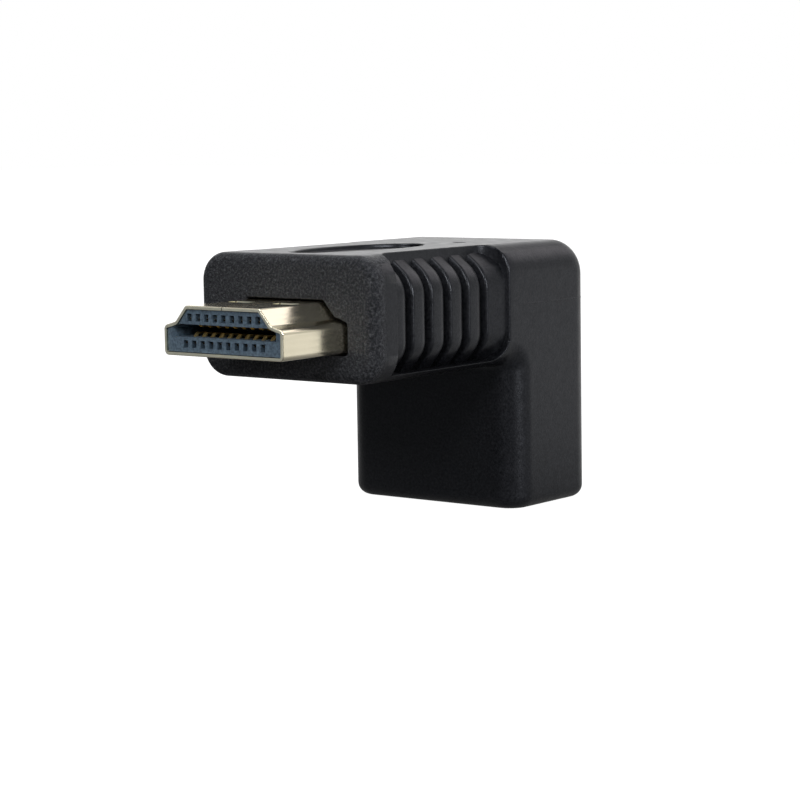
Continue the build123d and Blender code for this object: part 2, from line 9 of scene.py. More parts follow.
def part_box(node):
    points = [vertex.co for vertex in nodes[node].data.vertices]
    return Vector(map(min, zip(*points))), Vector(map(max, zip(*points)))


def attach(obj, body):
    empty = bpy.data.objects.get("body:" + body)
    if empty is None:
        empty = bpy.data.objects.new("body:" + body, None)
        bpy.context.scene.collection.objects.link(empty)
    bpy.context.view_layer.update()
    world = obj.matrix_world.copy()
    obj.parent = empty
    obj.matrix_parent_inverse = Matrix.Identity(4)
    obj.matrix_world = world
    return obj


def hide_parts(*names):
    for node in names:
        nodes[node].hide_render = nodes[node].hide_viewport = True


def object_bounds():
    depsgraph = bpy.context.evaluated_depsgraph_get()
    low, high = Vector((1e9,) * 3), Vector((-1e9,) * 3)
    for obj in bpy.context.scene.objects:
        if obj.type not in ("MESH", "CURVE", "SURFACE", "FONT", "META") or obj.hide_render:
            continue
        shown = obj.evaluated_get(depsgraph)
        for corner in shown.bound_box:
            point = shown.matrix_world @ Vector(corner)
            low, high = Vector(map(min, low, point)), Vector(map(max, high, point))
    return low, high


# The moulded body's shape is worked out in millimetres and scaled once. Everything else is in metres.
MM = 0.001

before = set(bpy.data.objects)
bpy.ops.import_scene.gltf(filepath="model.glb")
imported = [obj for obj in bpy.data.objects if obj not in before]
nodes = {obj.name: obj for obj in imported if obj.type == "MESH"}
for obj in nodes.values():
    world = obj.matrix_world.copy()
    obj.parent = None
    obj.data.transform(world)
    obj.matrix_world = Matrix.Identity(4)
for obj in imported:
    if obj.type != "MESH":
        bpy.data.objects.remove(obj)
cad_low, cad_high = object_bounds()

# Camera, as it stood for the photograph. Its sensor and lens are in millimetres.
CAMERA_PLACE = Vector((140.15, -161.54, 17.72)) * MM
CAMERA_YAW = radians(38.22)
CAMERA_PITCH = radians(-6.56)
CAMERA_ROLL = radians(-0.91)
SENSOR = 36.0
LENS = 108.0

# Moulded body, from the frame. Its Z is 0 at the plug's axis and its Y at the front face.
body_low, body_high = (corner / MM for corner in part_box("outer_body"))
HALF_WIDTH = body_high.x
FRONT = body_low.y
BACK = body_high.y
ARM_TOP = body_high.z
LEG_END = body_low.z

# Moulded body, the sizes that its box doesn't give
ARM_BOTTOM = -5.0
LEG_FRONT = 20.9
TOP_EDGE_RADIUS = 2.6
LOWER_EDGE_RADIUS = 2.6
BACK_TOP_RADIUS = 3.4
ELBOW_RADIUS = 0.6
FRONT_EDGE_RADIUS = 1.0
LEG_END_RADIUS = 1.2
FRONT_WALL = 1.5
LEG_END_WALL = 1.5
HOLE_RIM_RADIUS = 0.12

# Finger grips: a pocket in each side, with ribs that have a steep front and a rolled-off rear. Drops and
# depths are from the arm's side. Heights of the ribs' corners and of the ledge are from its underside.
COLLAR_LENGTH = 3.3
GRIP_PITCH = 2.785
GRIP_COUNT = 6
CREST_DROP = 0.6
GROOVE_DEPTH = 1.35
CREST_LENGTH = 1.3
GROOVE_FLOOR = 0.25         # from where a rib's roll ends to the next rib's front
CREST_EDGE_RADIUS = 0.3
REAR_RISE = 0.25            # the last rib's crest comes outwards by this to its rear
RIB_TOP_CORNER = 8.93
RIB_TOP_SLOPE = radians(52)
RIB_TOP_RADIUS = 3.0
RIB_FOOT_CORNER = 2.6
RIB_FOOT_SLOPE = radians(40)
RIB_FOOT_RADIUS = 2.5
GRIP_TOP_INSET = 2.8        # from the arm's side to the pocket's rim, on the top
GRIP_LEDGE = 0.7
GRIP_CORNER_RADIUS = 2.0
GRIP_RIM_RADIUS = 0.14
GRIP_END_RADIUS = 0.26
RISER_DRAFT = 0.08          # lean of a rib's steep front
FIRST_CREST_STEPS = (0.15, 0.4, 0.8)

# Oval recess and gate mark in the arm's top
RECESS_LENGTH = 16.8
RECESS_WIDTH = 7.8
RECESS_CENTRE = 10.8
RECESS_DEPTH = 0.4
RECESS_RIM_RADIUS = 0.14
GATE_MARK_RADIUS = 0.65
GATE_MARK_DEPTH = 0.12
GATE_MARK_X = 2.8
GATE_MARK_Y = 22.4
RECESS_MARGIN = 0.6         # the patch that holds the recess reaches this far past its ends
RECESS_SIDE_MARGIN = 0.5    # and this far past its sides
MARK_MARGIN = GATE_MARK_RADIUS * 1.7  # the gate mark's patch, from its middle
MARK_SIDE_MARGIN = 1.0

# Parting line, as a fine ridge on the sides and the back
PARTING_HEIGHT = 0.75
PARTING_WIDTH = 0.12
PARTING_RISE = 0.03
PARTING_SUNK = 0.05
PARTING_TUCK = 0.02         # its two ends run out into the body

# Plug outline, wide face down, and the socket's
PLUG_WIDTH = 13.9
PLUG_HEIGHT = 4.45
PLUG_TOP_WIDTH = 8.7
PLUG_STEP_WIDTH = 11.16
PLUG_SIDE_HEIGHT = 2.62
PLUG_STEP_HEIGHT = 3.0
PLUG_CORNER_RADIUS = 0.45
PLUG_HOLE_GAP = 0.2
SOCKET_HOLE_GAP = 0.43
SOCKET_Y = 27.3

# Cavity that the inner mould fills, and the length of its step between arm and leg
CAVITY_ARM_HALF_WIDTH = 7.95
CAVITY_ARM_HALF_HEIGHT = 3.175
CAVITY_LEG_HALF_WIDTH = 8.33
CAVITY_LEG_HALF_DEPTH = 3.555
CAVITY_CORNER_RADIUS = 1.0
CAVITY_STEP = 0.01

# How finely each stretch is divided: first those of a half section, from the top's middle downwards
TOP_STEPS = 12
RIM_STEPS = 8
WALL_STEPS = 6
UPPER_ARC_STEPS = 10
SIDE_STEPS = 14
LOWER_ARC_STEPS = 9
LEDGE_STEPS = 7
FOOT_STEPS = 9
BOTTOM_STEPS = 10
EDGE_STEPS = 8
FRONT_FACE_STEPS = 6
LEG_FACE_STEPS = 5
CORNER_STEPS = 6
HOLE_RIM_STEPS = 4
GRIP_END_STEPS = 5
CREST_EDGE_STEPS = 6
RIB_STEPS = 8               # of a rib's bends, of its roll into the groove and of the last crest's rise
TOP_REAR_STEPS = 7
BACK_TOP_STEPS = 12
BACK_STEPS = 8
LEG_STEPS = 7
PARTING_SIDE_STEPS = 10
PARTING_CORNER_STEPS = 14
PARTING_BACK_STEPS = 6
PARTING_CREST_STEPS = 6
PARTING_FADE_STEPS = 3
BEHIND_FRONT_EDGE = 0.4     # the first full section's distance from the front's rounded edge
RIM_REACH = 0.13            # the fine columns at the pocket's rim reach this far to either side
LEDGE_ARC = radians(3.0)    # and those at its ledge this far round the lower edge
LEDGE_SHARES = (0.02, 0.5, 1.0)
RIB_RUN = 3.5               # length of a rib's sloping ends before the pocket's rim and floor cut them
RIM_CLEARANCE = 0.15        # the pocket's rim stays at least this far inside the crests
TOP_CLEARANCE = 0.25        # the columns of the flat top end this far inside the pocket's rim
LEDGE_CLEARANCE = 0.25      # the ledge stays at least this far under the upright side
SHARP_ANGLE = radians(38)

# Body's grain: the coarse grain of the front fades out between two places along Y, and what is left of it
# behind them is the fine grain's share. On the top it fades out further back.
# The same share makes the body's colour paler on the front and darker behind it: partly the grain, partly
# painted shade for the grip's grooves and the leg's front.
COARSE_UNTIL = 1.0
FINE_FROM = 1.7
FINE_GRAIN = 0.10
TOP_GRAIN_LATER = 4.0

# Where sheet metal faces the front this squarely, it is a cut edge; on the contacts, whose ends sit in the
# insulator's holes, these faces get painted shade
CUT_FROM = -0.80
CUT_FULL = -0.95

# Nearly all of a noise lies between these
NOISE_LOW = 0.3
NOISE_HIGH = 0.7

# Studio, in metres. Brightness is of what reflections show, where 1 is white.
FLOOR_SIZE = 3.0
FLOOR_PALE_FROM = 0.10      # the floor grows paler up to here, behind the adapter
FLOOR_BEHIND = 0.68
STUDIO_FRONT = 0.03
STUDIO_BACK = 0.58
STUDIO_TOP = 0.5
LIGHT_TARGET = Vector((0, 0.015, 0))

TOP_FLAT = HALF_WIDTH - GRIP_TOP_INSET - TOP_CLEARANCE

Station = namedtuple("Station", "outer outer_in inner inner_in inset pocket")


def lerp(start, end, share):
    return start + (end - start) * share


def lerp2(start, end, share):
    return tuple(lerp(a, b, share) for a, b in zip(start, end))


def shares(count, first=0):
    """The fractions first/count up to 1."""
    return [step / count for step in range(first, count + 1)]


def bend(start, corner, end, count):
    """Points of a round corner after its start, up to its end."""
    return [
        tuple(
            lerp(lerp(a, b, share), lerp(b, c, share), share)
            for a, b, c in zip(start, corner, end)
        )
        for share in shares(count, 1)
    ]


def outer_edge(along, inset):
    """A point of the upper edge, this far along the outline from where its rounding starts."""
    start = HALF_WIDTH - TOP_EDGE_RADIUS
    if along <= 0:
        return (start + along, inset, 0.0)
    angle = along / TOP_EDGE_RADIUS
    radius = TOP_EDGE_RADIUS - inset
    return (start + radius * sin(angle), TOP_EDGE_RADIUS - radius * cos(angle), 0.0)


def inner_arc(angle, radius):
    """A point of the lower edge's rounding: x, depth under the inner face, and 1 for the inner end."""
    flat = HALF_WIDTH - LOWER_EDGE_RADIUS
    return (flat + radius * cos(angle), LOWER_EDGE_RADIUS - radius * sin(angle), 1.0)


def rounding(into):
    """How far a round corner of the grip pocket stands off its straight side, this far into the corner."""
    into = max(0.0, min(into, GRIP_CORNER_RADIUS))
    return GRIP_CORNER_RADIUS - sqrt(GRIP_CORNER_RADIUS ** 2 - into ** 2)


def grip_limits(y):
    """The grip pocket's rim, as an x on the arm's upper edge, and its floor, above the arm's underside."""
    end = COLLAR_LENGTH + GRIP_COUNT * GRIP_PITCH
    from_end = end - y
    from_ends = min(y - COLLAR_LENGTH, from_end)
    rim = HALF_WIDTH - GRIP_TOP_INSET + rounding(GRIP_CORNER_RADIUS - from_ends)
    floor = GRIP_LEDGE + rounding(GRIP_CORNER_RADIUS - from_end)
    rim = min(rim, HALF_WIDTH - CREST_DROP - RIM_CLEARANCE)
    return rim, min(floor, LOWER_EDGE_RADIUS - LEDGE_CLEARANCE)


def rim_and_ledge(y):
    """Where the grip pocket's rim and floor cross the arm's edges, as a distance along and an angle."""
    rim, floor = grip_limits(y)
    rim_along = rim - HALF_WIDTH + TOP_EDGE_RADIUS
    if rim_along > 0:
        rim_along = TOP_EDGE_RADIUS * asin(rim_along / TOP_EDGE_RADIUS)
    return rim_along, asin((LOWER_EDGE_RADIUS - floor) / LOWER_EDGE_RADIUS)


def plain_section(inset, y):
    """Right half of a plain section, from the top's middle to the bottom's. Points are x, depth and end."""
    flat_bottom = HALF_WIDTH - LOWER_EDGE_RADIUS
    lower_radius = LOWER_EDGE_RADIUS - inset
    rim_along, ledge_angle = rim_and_ledge(y)
    points = [(TOP_FLAT * share, inset, 0.0) for share in shares(TOP_STEPS)]
    upper_runs = [
        (TOP_FLAT - HALF_WIDTH + TOP_EDGE_RADIUS, rim_along - RIM_REACH, RIM_STEPS),
        (rim_along - RIM_REACH, rim_along + RIM_REACH, WALL_STEPS),
        (rim_along + RIM_REACH, TOP_EDGE_RADIUS * pi / 2, UPPER_ARC_STEPS),
    ]
    for start, end, count in upper_runs:
        points += [outer_edge(lerp(start, end, share), inset) for share in shares(count, 1)]
    points += [(HALF_WIDTH - inset, 0.0, share) for share in shares(SIDE_STEPS, 1)[:-1]]
    points.append(inner_arc(0.0, lower_radius))
    lower_turns = [
        (0.0, ledge_angle - LEDGE_ARC, LOWER_ARC_STEPS),
        (ledge_angle - LEDGE_ARC, ledge_angle + LEDGE_ARC, LEDGE_STEPS),
        (ledge_angle + LEDGE_ARC, pi / 2, FOOT_STEPS),
    ]
    for start, end, count in lower_turns:
        points += [inner_arc(lerp(start, end, share), lower_radius) for share in shares(count, 1)]
    return points + [(flat_bottom * (1 - share), inset, 1.0) for share in shares(BOTTOM_STEPS, 1)]


def rib_bend(corner, slope, radius, sunk, up):
    """A rib's line where it turns in, up (1) or down (-1), from its far end to the arm's side."""
    crest = HALF_WIDTH - CREST_DROP
    middle = (crest - radius, corner - up * radius * tan(slope / 2))
    run = radius - sunk
    turns = [slope * share for share in shares(RIB_STEPS)]
    arc = [(middle[0] + run * cos(turn), middle[1] + up * run * sin(turn)) for turn in turns]
    last = arc[-1]
    far = (last[0] - RIB_RUN * sin(slope), last[1] + up * RIB_RUN * cos(slope))
    return [far] + arc[::-1]


def clipped(points, axis, low):
    """The end of a line of points from where it first rises over a limit."""
    for place, (start, end) in enumerate(zip(points, points[1:])):
        if start[axis] < low <= end[axis]:
            share = (low - start[axis]) / (end[axis] - start[axis])
            return [lerp2(start, end, share)] + points[place + 1:]
    return points


def even(points, count):
    """A line of points divided anew into stretches of one length, without its first point."""
    lengths = [0.0]
    for (x, z), (next_x, next_z) in zip(points, points[1:]):
        lengths.append(lengths[-1] + sqrt((next_x - x) ** 2 + (next_z - z) ** 2))
    divided = []
    place = 0
    for share in shares(count, 1):
        goal = lengths[-1] * share
        while place < len(points) - 2 and lengths[place + 1] < goal:
            place += 1
        stretch = max(lengths[place + 1] - lengths[place], 1e-9)
        along = (goal - lengths[place]) / stretch
        divided.append(lerp2(points[place], points[place + 1], along))
    return divided


def grip_section(pocket, y):
    """What the grips cut of a section, from the pocket's rim to its ledge, as pairs of x and z."""
    rim, _ = grip_limits(y)
    rim_along, ledge_angle = rim_and_ledge(y)
    sunk = pocket - CREST_DROP

    def on_upper_edge(along):
        x, depth, _ = outer_edge(along, 0.0)
        return x, ARM_TOP - depth

    def on_lower_edge(angle):
        x, depth, _ = inner_arc(angle, LOWER_EDGE_RADIUS)
        return x, ARM_BOTTOM + depth

    ledge = on_lower_edge(ledge_angle)
    over = rib_bend(ARM_BOTTOM + RIB_TOP_CORNER, RIB_TOP_SLOPE, RIB_TOP_RADIUS, sunk, 1)
    over = clipped(over, 0, rim)
    under = rib_bend(ARM_BOTTOM + RIB_FOOT_CORNER, RIB_FOOT_SLOPE, RIB_FOOT_RADIUS, sunk, -1)
    under = clipped(under, 1, ledge[1])
    before = on_upper_edge(rim_along - RIM_REACH)
    edge = on_upper_edge(rim_along)
    wall_foot = over[0][1]
    below = (rim, edge[1] - min(GRIP_RIM_RADIUS, (edge[1] - wall_foot) / 2))
    wall = [(rim, lerp(below[1], wall_foot, 0.5)), (rim, wall_foot)]
    points = bend(before, edge, below, WALL_STEPS - len(wall)) + wall
    points += even(over, UPPER_ARC_STEPS)
    points += even([over[-1], under[-1]], SIDE_STEPS)
    points += even(under[::-1], LOWER_ARC_STEPS)
    corner = points[-1]
    turn = min(GRIP_RIM_RADIUS, (ledge[0] - corner[0]) / 2)
    outwards = (ledge[0] - turn, ledge[1])
    points += [lerp2(corner, outwards, share) for share in LEDGE_SHARES]
    after = on_lower_edge(ledge_angle + LEDGE_ARC)
    return points + bend(outwards, ledge, after, LEDGE_STEPS - len(LEDGE_SHARES))


def place_point(station, point):
    """The place in space of a section's point at a station."""
    x, depth, end = point
    outer = station.outer + station.outer_in * TOP_EDGE_RADIUS
    inner = station.inner + station.inner_in * LOWER_EDGE_RADIUS
    if end == 0:
        along = station.outer + station.outer_in * depth
    elif end == 1:
        along = station.inner + station.inner_in * depth
    else:
        along = outer.lerp(inner, end)
    return Vector((x, along.x, along.y))


def half_ring(station):
    """Right half of a station's section, in space."""
    y = station.outer.x
    half = [place_point(station, point) for point in plain_section(station.inset, y)]
    if station.pocket == 0:
        return half
    shallowest = CREST_DROP - REAR_RISE
    cut = grip_section(max(station.pocket, shallowest), y)
    first = TOP_STEPS + RIM_STEPS + 1
    share = min(1.0, station.pocket / shallowest)
    for place, (x, z) in enumerate(cut, start=first):
        half[place] = half[place].lerp(Vector((x, y, z)), share)
    return half


def ring_of(station):
    """A closed ring of points: right half downwards, left half back up."""
    half = half_ring(station)
    left = [Vector((-point.x, point.y, point.z)) for point in reversed(half[1:-1])]
    return half + left


def arm_station(y, inset=0.0, pocket=0.0):
    top, bottom = Vector((y, ARM_TOP)), Vector((y, ARM_BOTTOM))
    return Station(top, Vector((0, -1)), bottom, Vector((0, 1)), inset, pocket)


def leg_station(z, inset=0.0):
    back, front = Vector((BACK, z)), Vector((LEG_FRONT, z))
    return Station(back, Vector((-1, 0)), front, Vector((1, 0)), inset, 0.0)


def groove_places(start):
    """From a rib's rolled-off rear into the groove behind it, and along its floor to the next rib."""
    roll_from = start + CREST_LENGTH
    run = start + GRIP_PITCH - GROOVE_FLOOR - roll_from
    fall = GROOVE_DEPTH - CREST_DROP
    radius = (run * run + fall * fall) / (2 * fall)
    whole = asin(run / radius)
    places = [(roll_from, CREST_DROP)]
    for share in shares(RIB_STEPS, 1):
        turn = whole * share
        places.append((roll_from + radius * sin(turn), CREST_DROP + radius * (1 - cos(turn))))
    return places + [(start + GRIP_PITCH - RISER_DRAFT, GROOVE_DEPTH)]


def grip_places():
    """The pairs of y and pocket depth along the grips, with their rounded corners."""
    edge = CREST_EDGE_RADIUS
    rim = GRIP_END_RADIUS
    start = COLLAR_LENGTH
    places = bend((start - rim, 0.0), (start, 0.0), (start + RISER_DRAFT / 4, rim), GRIP_END_STEPS)
    places.append((start + RISER_DRAFT / 2, CREST_DROP))
    places += [(start + RISER_DRAFT + step, CREST_DROP) for step in FIRST_CREST_STEPS]
    for _ in range(GRIP_COUNT - 1):
        places += groove_places(start)
        start += GRIP_PITCH
        crest_from = start + RISER_DRAFT
        riser_top = (start + RISER_DRAFT / 2, CREST_DROP + edge)
        places.append(riser_top)
        crest_full = (crest_from + edge, CREST_DROP)
        places += bend(riser_top, (crest_from, CREST_DROP), crest_full, CREST_EDGE_STEPS)
    end = start + GRIP_PITCH
    rise_from = places[-1]
    wall_foot = (end - RISER_DRAFT, CREST_DROP - REAR_RISE)
    wall_top = (end - RISER_DRAFT / 4, rim)
    places += [lerp2(rise_from, wall_foot, share) for share in shares(RIB_STEPS, 1)]
    return places + [wall_top] + bend(wall_top, (end, 0.0), (end + rim, 0.0), GRIP_END_STEPS)


def elbow_stations():
    """Sections that turn from the arm into the leg."""
    flat_end = BACK - BACK_TOP_RADIUS
    arc_centre = Vector((flat_end, ARM_TOP - BACK_TOP_RADIUS))
    leg_top = ARM_BOTTOM - ELBOW_RADIUS
    elbow_centre = Vector((LEG_FRONT - ELBOW_RADIUS, leg_top))
    near_mark = [GATE_MARK_Y + MARK_MARGIN * share for share in (-1, -0.7, -0.35, 0, 0.35, 0.7, 1)]
    on_top = near_mark + [lerp(near_mark[-1], flat_end, share) for share in shares(TOP_REAR_STEPS, 1)]
    outline = [(Vector((y, ARM_TOP)), Vector((0, -1))) for y in on_top]
    for share in shares(BACK_TOP_STEPS, 1):
        turn = pi / 2 * share
        inwards = Vector((-sin(turn), -cos(turn)))
        outline.append((arc_centre - inwards * BACK_TOP_RADIUS, inwards))
    down_from = ARM_TOP - BACK_TOP_RADIUS
    down_back = [lerp(down_from, leg_top, share) for share in shares(BACK_STEPS, 1)]
    outline += [(Vector((BACK, z)), Vector((-1, 0))) for z in down_back]
    stations = []
    for place, (outer, outer_in) in enumerate(outline):
        turn = pi / 2 * place / (len(outline) - 1)
        inner_in = Vector((sin(turn), cos(turn)))
        inner = elbow_centre + inner_in * ELBOW_RADIUS
        stations.append(Station(outer, outer_in, inner, inner_in, 0.0, 0.0))
    return stations


def edge_rounding(radius, count):
    """Pairs of distance along and inset of a rounded end, from its face to its full section."""
    turns = [pi / 2 * (1 - share) for share in shares(count)]
    return [(radius * (1 - sin(turn)), radius * (1 - cos(turn))) for turn in turns]


def outside_stations():
    """Every section of the outside, from the front face to the leg's end."""
    front_edge = edge_rounding(FRONT_EDGE_RADIUS, EDGE_STEPS)
    stations = [arm_station(FRONT + along, inset) for along, inset in front_edge]
    stations.append(arm_station(FRONT + FRONT_EDGE_RADIUS + BEHIND_FRONT_EDGE))
    stations += [arm_station(FRONT + y, 0.0, pocket) for y, pocket in grip_places()]
    stations += elbow_stations()
    leg_top = ARM_BOTTOM - ELBOW_RADIUS
    leg_foot = LEG_END + LEG_END_RADIUS
    stations += [leg_station(lerp(leg_top, leg_foot, share)) for share in shares(LEG_STEPS, 1)[:-1]]
    ends = reversed(edge_rounding(LEG_END_RADIUS, EDGE_STEPS))
    return stations + [leg_station(LEG_END + along, inset) for along, inset in ends]


def connector_corners(grow):
    """Corners of the plug's outline, counter-clockwise, moved outwards by grow."""
    bottom = -PLUG_HEIGHT / 2
    right = [
        (PLUG_WIDTH / 2, bottom),
        (PLUG_WIDTH / 2, bottom + PLUG_SIDE_HEIGHT),
        (PLUG_STEP_WIDTH / 2, bottom + PLUG_STEP_HEIGHT),
        (PLUG_TOP_WIDTH / 2, PLUG_HEIGHT / 2),
    ]
    corners = right + [(-x, z) for x, z in reversed(right)]
    grown = []
    for place, (x, z) in enumerate(corners):
        before = corners[place - 1]
        after = corners[(place + 1) % len(corners)]
        first = Vector((z - before[1], before[0] - x)).normalized()
        second = Vector((after[1] - z, x - after[0])).normalized()
        mitre = (first + second) / (1 + first.dot(second))
        grown.append(Vector((x, z)) + mitre * grow)
    return grown


def rounded(corners, radius):
    """A closed outline with round corners."""
    outline = []
    for place, corner in enumerate(corners):
        to_before = (corners[place - 1] - corner).normalized()
        to_after = (corners[(place + 1) % len(corners)] - corner).normalized()
        half_angle = to_before.angle(to_after) / 2
        back = radius / tan(half_angle)
        start = corner + to_before * back
        outline.append(start)
        end = corner + to_after * back
        points = bend(tuple(start), tuple(corner), tuple(end), CORNER_STEPS)
        outline += [Vector(point) for point in points]
    return outline


def rectangle(half_width, half_height):
    """The cavity's outline."""
    corners = [(half_width, -half_height), (half_width, half_height),
               (-half_width, half_height), (-half_width, -half_height)]
    return rounded([Vector(corner) for corner in corners], CAVITY_CORNER_RADIUS)


def ray_hit(outline, direction):
    """Where a ray from the middle crosses a closed outline."""
    for place, start in enumerate(outline):
        end = outline[(place + 1) % len(outline)]
        edge = end - start
        cross = direction.x * edge.y - direction.y * edge.x
        if abs(cross) < 1e-12:
            continue
        along_ray = (start.x * edge.y - start.y * edge.x) / cross
        along_edge = (start.x * direction.y - start.y * direction.x) / cross
        if along_ray > 0 and -1e-9 <= along_edge <= 1 + 1e-9:
            return direction * along_ray
    raise ValueError("the outline isn't closed around its middle")


def around(outline, directions):
    return [ray_hit(outline, direction) for direction in directions]


def on_front(points, y):
    return [Vector((p.x, y, p.y)) for p in points]


def on_leg(points, z):
    return [Vector((p.x, SOCKET_Y + p.y, z)) for p in points]


def blend_rings(first, last, count):
    """Rings between two rings, without them."""
    return [[a.lerp(b, share) for a, b in zip(first, last)] for share in shares(count, 1)[:-1]]


def body_rings():
    """All rings of the body: outside from front to leg's end, then back through the inside."""
    rings = [ring_of(station) for station in outside_stations()]
    front_ring, end_ring = rings[0], rings[-1]
    arm_directions = [Vector((p.x, p.z)).normalized() for p in front_ring]
    leg_directions = [Vector((p.x, p.y - SOCKET_Y)).normalized() for p in end_ring]
    rim_profile = edge_rounding(HOLE_RIM_RADIUS, HOLE_RIM_STEPS)[::-1]

    def hole(gap, directions):
        return around(rounded(connector_corners(gap), PLUG_CORNER_RADIUS), directions)

    def plug_hole(grow, inwards):
        return on_front(hole(PLUG_HOLE_GAP + grow, arm_directions), FRONT + inwards)

    def socket_hole(grow, inwards):
        return on_leg(hole(SOCKET_HOLE_GAP + grow, leg_directions), LEG_END + inwards)

    socket_rims = [socket_hole(grow, inwards) for grow, inwards in rim_profile]
    rings += blend_rings(end_ring, socket_rims[0], LEG_FACE_STEPS)
    rings += socket_rims + [socket_hole(0.0, LEG_END_WALL)]
    leg_cavity = around(rectangle(CAVITY_LEG_HALF_WIDTH, CAVITY_LEG_HALF_DEPTH), leg_directions)
    arm_cavity = around(rectangle(CAVITY_ARM_HALF_WIDTH, CAVITY_ARM_HALF_HEIGHT), arm_directions)
    rings.append(on_leg(leg_cavity, LEG_END + LEG_END_WALL))
    mitre = CAVITY_ARM_HALF_HEIGHT / CAVITY_LEG_HALF_DEPTH
    rings.append([Vector((p.x, SOCKET_Y + p.y, p.y * mitre)) for p in leg_cavity])
    wide_from = SOCKET_Y - CAVITY_LEG_HALF_DEPTH
    widen = CAVITY_LEG_HALF_WIDTH / CAVITY_ARM_HALF_WIDTH
    rings.append([Vector((p.x * widen, wide_from, p.y)) for p in arm_cavity])
    rings.append(on_front(arm_cavity, wide_from - CAVITY_STEP))
    rings.append(on_front(arm_cavity, FRONT + FRONT_WALL))
    rings.append(plug_hole(0.0, FRONT_WALL))
    plug_rims = [plug_hole(grow, inwards) for grow, inwards in rim_profile]
    rings += reversed(plug_rims)
    rings += blend_rings(plug_rims[0], front_ring, FRONT_FACE_STEPS)
    return rings


def patch_faces(vertices, ring_size, rows, columns, centre, half_sizes, profile, level):
    """Fills a rectangle of rings and columns with an oval that steps down by the given profile."""
    first_row, last_row = rows
    first, last = columns

    def at(row, column):
        return row * ring_size + column % ring_size

    border = [at(first_row, c) for c in range(first, last)]
    border += [at(r, last) for r in range(first_row, last_row)]
    border += [at(last_row, c) for c in range(last, first, -1)]
    border += [at(r, first) for r in range(last_row, first_row, -1)]
    angles = []
    for index in border:
        x, y = vertices[index].x - centre.x, vertices[index].y - centre.y
        angles.append(atan2(y / half_sizes[1], x / half_sizes[0]))
    faces = []
    before = border
    for out, depth in profile:
        start = len(vertices)
        vertices += [
            Vector((
                centre.x + (half_sizes[0] + out) * cos(angle),
                centre.y + (half_sizes[1] + out) * sin(angle),
                level - depth,
            ))
            for angle in angles
        ]
        after = list(range(start, start + len(border)))
        faces += bridge(before, after)
        before = after
    vertices.append(Vector((centre.x, centre.y, level - profile[-1][1])))
    middle = len(vertices) - 1
    faces += [(a, b, middle) for a, b in zip(before, before[1:] + before[:1])]
    return faces


def bridge(first, second):
    """Quads between two closed loops of vertex numbers."""
    return [
        (a, b, d, c)
        for a, b, c, d in zip(first, first[1:] + first[:1], second, second[1:] + second[:1])
    ]


def sunk_profile(depth, rim, reach):
    """Pairs of offset and depth of an oval mark: rounded rim, wall, rounded foot and floor."""
    turn = min(rim, depth / 2)
    pairs = [(rim * 3, 0.0)]
    quarter = [pi / 2 * share for share in shares(HOLE_RIM_STEPS)]
    pairs += [(rim * (1 - sin(a)), turn * (1 - cos(a))) for a in quarter]
    pairs += [(-turn * (1 - cos(a)), depth - turn * (1 - sin(a))) for a in quarter]
    pairs += [(-reach * share, depth) for share in (0.3, 0.6, 0.85)]
    return pairs


def moulded_body():
    """The whole over-moulded body as one closed skin."""
    rings = body_rings()
    size = len(rings[0])
    vertices = [point for ring in rings for point in ring]
    outside = outside_stations()
    recess_half = RECESS_LENGTH / 2 + RECESS_MARGIN
    recess_rows = rows_between(outside, RECESS_CENTRE - recess_half, RECESS_CENTRE + recess_half)
    mark_rows = rows_between(outside, GATE_MARK_Y - MARK_MARGIN, GATE_MARK_Y + MARK_MARGIN)
    column_width = TOP_FLAT / TOP_STEPS
    recess_reach = int((RECESS_WIDTH / 2 + RECESS_SIDE_MARGIN) / column_width) + 1
    mark_columns = (
        int((GATE_MARK_X - MARK_SIDE_MARGIN) / column_width),
        int((GATE_MARK_X + MARK_SIDE_MARGIN) / column_width) + 1,
    )
    patches = [
        (recess_rows, (-recess_reach, recess_reach), Vector((0, RECESS_CENTRE)),
         (RECESS_WIDTH / 2, RECESS_LENGTH / 2), RECESS_DEPTH, RECESS_RIM_RADIUS),
        (mark_rows, mark_columns, Vector((GATE_MARK_X, GATE_MARK_Y)),
         (GATE_MARK_RADIUS, GATE_MARK_RADIUS), GATE_MARK_DEPTH, GATE_MARK_DEPTH / 2),
    ]
    open_cells = set()
    faces = []
    for rows, columns, centre, halves, depth, rim in patches:
        for row in range(*rows):
            open_cells.update((row, column % size) for column in range(*columns))
        profile = sunk_profile(depth, rim, min(halves))
        faces += patch_faces(vertices, size, rows, columns, centre, halves, profile, ARM_TOP)
    for row in range(len(rings)):
        here = row * size
        below = (row + 1) % len(rings) * size
        for column in range(size):
            if (row, column) in open_cells:
                continue
            beside = (column + 1) % size
            faces.append((here + column, here + beside, below + beside, below + column))
    return make_piece("moulded_body", vertices, faces)


